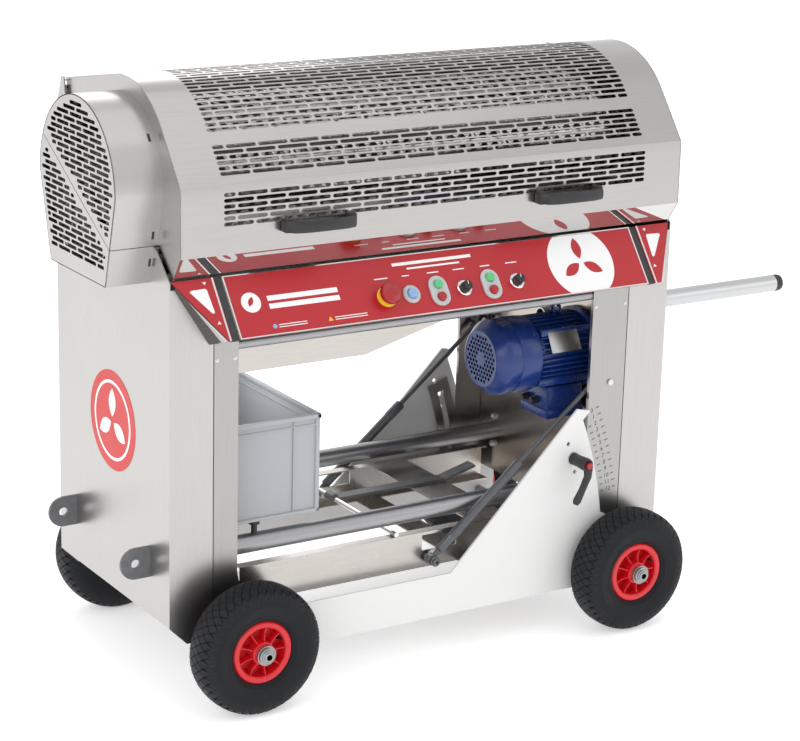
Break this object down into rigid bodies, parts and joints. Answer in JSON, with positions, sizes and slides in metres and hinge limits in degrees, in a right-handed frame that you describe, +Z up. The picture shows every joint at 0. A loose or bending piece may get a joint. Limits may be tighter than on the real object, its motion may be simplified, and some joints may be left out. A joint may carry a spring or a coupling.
{
  "type": "drum trimming machine",
  "caption": "Wheeled stainless drum trimmer: perforated hood, red sloping control console, tilting body on a white chassis, motor, crate and push bar.",
  "frame": {"origin": "middle of the overall footprint, on the floor", "axes": "+X along the machine towards the push bar, +Y from the console side to the back, +Z up"},
  "size_m": [1.764, 0.732, 1.197],
  "materials": {
    "steel": "satin",
    "inner_steel": "satin",
    "polished_steel": "polished",
    "white_plate": "satin",
    "red_panel": "gloss",
    "blue_paint": "gloss",
    "tyre": "matte",
    "rim_red": "gloss",
    "bolt_zinc": "satin",
    "black_plastic": "matte",
    "dark_metal": "satin",
    "grey_plastic": "satin",
    "button_red": "gloss",
    "button_green": "gloss",
    "button_blue": "gloss",
    "belt_rubber": "matte",
    "aluminium": "satin"
  },
  "bodies": {
    "chassis": {"side_plate_front": "white_plate", "side_plate_rear": "white_plate", "chassis_rails": "inner_steel", "axle_set": "bolt_zinc", "tie_bar": "dark_metal", "cross_rod": "polished_steel"},
    "machine_body": {"left_leg_cover": "steel", "right_leg_cover": "steel", "leg_posts": "steel", "motor_plate": "inner_steel", "cross_tubes": "aluminium", "rear_panel": "steel", "hopper": "inner_steel", "guard_lower": "steel", "bearing_blocks": "dark_metal", "crate_rests": "black_plastic", "hitch_tabs": "dark_metal", "body_bolts": "bolt_zinc", "console_box": "polished_steel", "console_panels": "red_panel", "control_bezels": "grey_plastic", "motor_frame": "blue_paint", "fan_cover": "blue_paint", "terminal_box": "blue_paint", "drive_belt": "belt_rubber", "hinge_pin": "polished_steel"},
    "hood": {"hood_shell": "steel", "hood_handles": "black_plastic", "guard_upper": "steel"},
    "drum": {"drum": "polished_steel"},
    "roller_front": {"drum_roller_front": "belt_rubber"},
    "roller_rear": {"drum_roller_rear": "belt_rubber"},
    "reel": {"blade_reel": "inner_steel"},
    "rotor": {"motor_rotor": "inner_steel"},
    "estop": {"estop_button": "button_red"},
    "reset": {"reset_button": "button_blue"},
    "tumbler_start": {"tumbler_start": "button_green"},
    "tumbler_stop": {"tumbler_stop": "button_red"},
    "blades_start": {"blades_start": "button_green"},
    "blades_stop": {"blades_stop": "button_red"},
    "tumbler_speed": {"tumbler_knob": "black_plastic"},
    "blades_speed": {"blades_knob": "black_plastic"},
    "lever": {"clamp_lever": "black_plastic"},
    "lever_release": {"lever_button": "button_red"},
    "cylinder_front": {"spring_cylinder_front": "dark_metal"},
    "cylinder_rear": {"spring_cylinder_rear": "dark_metal"},
    "piston_front": {"spring_rod_front": "dark_metal"},
    "piston_rear": {"spring_rod_rear": "dark_metal"},
    "crate": {"crate": "grey_plastic"},
    "handle": {"handle_bar": "aluminium", "bar_end_cap": "black_plastic"},
    "wheel_front_left": {"tyre_front_left": "tyre", "rim_front_left": "rim_red"},
    "wheel_front_right": {"tyre_front_right": "tyre", "rim_front_right": "rim_red"},
    "wheel_rear_left": {"tyre_rear_left": "tyre", "rim_rear_left": "rim_red"},
    "wheel_rear_right": {"tyre_rear_right": "tyre", "rim_rear_right": "rim_red"}
  },
  "joints": [
    {"name": "wheel_front_left_spin", "type": "hinge", "parent": "chassis", "child": "wheel_front_left", "pos_m": [-0.642, -0.308, 0.13], "axis": [0, 1, 0], "continuous": true},
    {"name": "wheel_front_right_spin", "type": "hinge", "parent": "chassis", "child": "wheel_front_right", "pos_m": [0.246, -0.308, 0.13], "axis": [0, 1, 0], "continuous": true},
    {"name": "wheel_rear_left_spin", "type": "hinge", "parent": "chassis", "child": "wheel_rear_left", "pos_m": [-0.642, 0.308, 0.13], "axis": [0, 1, 0], "continuous": true},
    {"name": "wheel_rear_right_spin", "type": "hinge", "parent": "chassis", "child": "wheel_rear_right", "pos_m": [0.246, 0.308, 0.13], "axis": [0, 1, 0], "continuous": true},
    {"name": "body_tilt", "type": "hinge", "parent": "chassis", "child": "machine_body", "pos_m": [-0.642, 0, 0.13], "axis": [0, -1, 0], "range_deg": [0, 12]},
    {"name": "hood_hinge", "type": "hinge", "parent": "machine_body", "child": "hood", "pos_m": [-0.218, 0.208, 1.1495], "axis": [-1, 0, 0], "range_deg": [0, 75]},
    {"name": "drum_spin", "type": "hinge", "parent": "machine_body", "child": "drum", "pos_m": [-0.218, -0.046, 1.002], "axis": [1, 0, 0], "continuous": true},
    {"name": "roller_front_spin", "type": "hinge", "parent": "machine_body", "child": "roller_front", "pos_m": [-0.218, -0.17, 0.87374], "axis": [1, 0, 0], "continuous": true},
    {"name": "roller_rear_spin", "type": "hinge", "parent": "machine_body", "child": "roller_rear", "pos_m": [-0.218, 0.078, 0.87374], "axis": [1, 0, 0], "continuous": true},
    {"name": "motor_spin", "type": "hinge", "parent": "machine_body", "child": "rotor", "pos_m": [0.258, -0.108, 0.568], "axis": [1, 0, 0], "continuous": true},
    {"name": "reel_spin", "type": "hinge", "parent": "machine_body", "child": "reel", "pos_m": [-0.218, -0.046, 0.817], "axis": [1, 0, 0], "continuous": true},
    {"name": "estop_press", "type": "slide", "parent": "machine_body", "child": "estop", "axis": [0, 0.7953, -0.6063], "range_m": [0, 0.005], "stiffness_N_per_m": 600},
    {"name": "reset_press", "type": "slide", "parent": "machine_body", "child": "reset", "axis": [0, 0.7953, -0.6063], "range_m": [0, 0.003], "stiffness_N_per_m": 600},
    {"name": "tumbler_start_press", "type": "slide", "parent": "machine_body", "child": "tumbler_start", "axis": [0, 0.7953, -0.6063], "range_m": [0, 0.003], "stiffness_N_per_m": 600},
    {"name": "tumbler_stop_press", "type": "slide", "parent": "machine_body", "child": "tumbler_stop", "axis": [0, 0.7953, -0.6063], "range_m": [0, 0.003], "stiffness_N_per_m": 600},
    {"name": "blades_start_press", "type": "slide", "parent": "machine_body", "child": "blades_start", "axis": [0, 0.7953, -0.6063], "range_m": [0, 0.003], "stiffness_N_per_m": 600},
    {"name": "blades_stop_press", "type": "slide", "parent": "machine_body", "child": "blades_stop", "axis": [0, 0.7953, -0.6063], "range_m": [0, 0.003], "stiffness_N_per_m": 600},
    {"name": "tumbler_speed_turn", "type": "hinge", "parent": "machine_body", "child": "tumbler_speed", "pos_m": [-0.184, -0.29893, 0.7832], "axis": [0, -0.7953, 0.6063], "range_deg": [-270, 0]},
    {"name": "blades_speed_turn", "type": "hinge", "parent": "machine_body", "child": "blades_speed", "pos_m": [-0.061, -0.29893, 0.7832], "axis": [0, -0.7953, 0.6063], "range_deg": [-270, 0]},
    {"name": "lever_turn", "type": "hinge", "parent": "chassis", "child": "lever", "pos_m": [0.129, -0.28, 0.375], "axis": [0, 1, 0], "range_deg": [-90, 30]},
    {"name": "lever_release_press", "type": "slide", "parent": "lever", "child": "lever_release", "axis": [0, 1, 0], "range_m": [0, 0.003], "stiffness_N_per_m": 500},
    {"name": "spring_front_swing", "type": "hinge", "parent": "chassis", "child": "cylinder_front", "pos_m": [-0.195, -0.229, 0.202], "axis": [0, -1, 0], "range_deg": [0, 21]},
    {"name": "spring_front_stroke", "type": "slide", "parent": "cylinder_front", "child": "piston_front", "axis": [0.7693, 0, 0.6389], "range_m": [0, 0.066]},
    {"name": "spring_rear_swing", "type": "hinge", "parent": "chassis", "child": "cylinder_rear", "pos_m": [-0.195, 0.229, 0.202], "axis": [0, -1, 0], "range_deg": [0, 21]},
    {"name": "spring_rear_stroke", "type": "slide", "parent": "cylinder_rear", "child": "piston_rear", "axis": [0.7693, 0, 0.6389], "range_m": [0, 0.066]},
    {"name": "crate_slide", "type": "slide", "parent": "machine_body", "child": "crate", "axis": [1, 0, 0], "range_m": [0, 0.35]},
    {"name": "handle_slide", "type": "slide", "parent": "machine_body", "child": "handle", "axis": [-1, 0, 0], "range_m": [0, 0.38]}
  ],
  "couplings": [
    {"joint": "roller_front_spin", "follows": "drum_spin", "ratio": -5.3571},
    {"joint": "roller_rear_spin", "follows": "drum_spin", "ratio": -5.3571},
    {"joint": "reel_spin", "follows": "motor_spin", "ratio": 1.2},
    {"joint": "spring_front_swing", "follows": "body_tilt", "ratio": 1.6247},
    {"joint": "spring_front_stroke", "follows": "body_tilt", "m_per_rad": 0.28009},
    {"joint": "spring_rear_swing", "follows": "body_tilt", "ratio": 1.6247},
    {"joint": "spring_rear_stroke", "follows": "body_tilt", "m_per_rad": 0.28009}
  ]
}
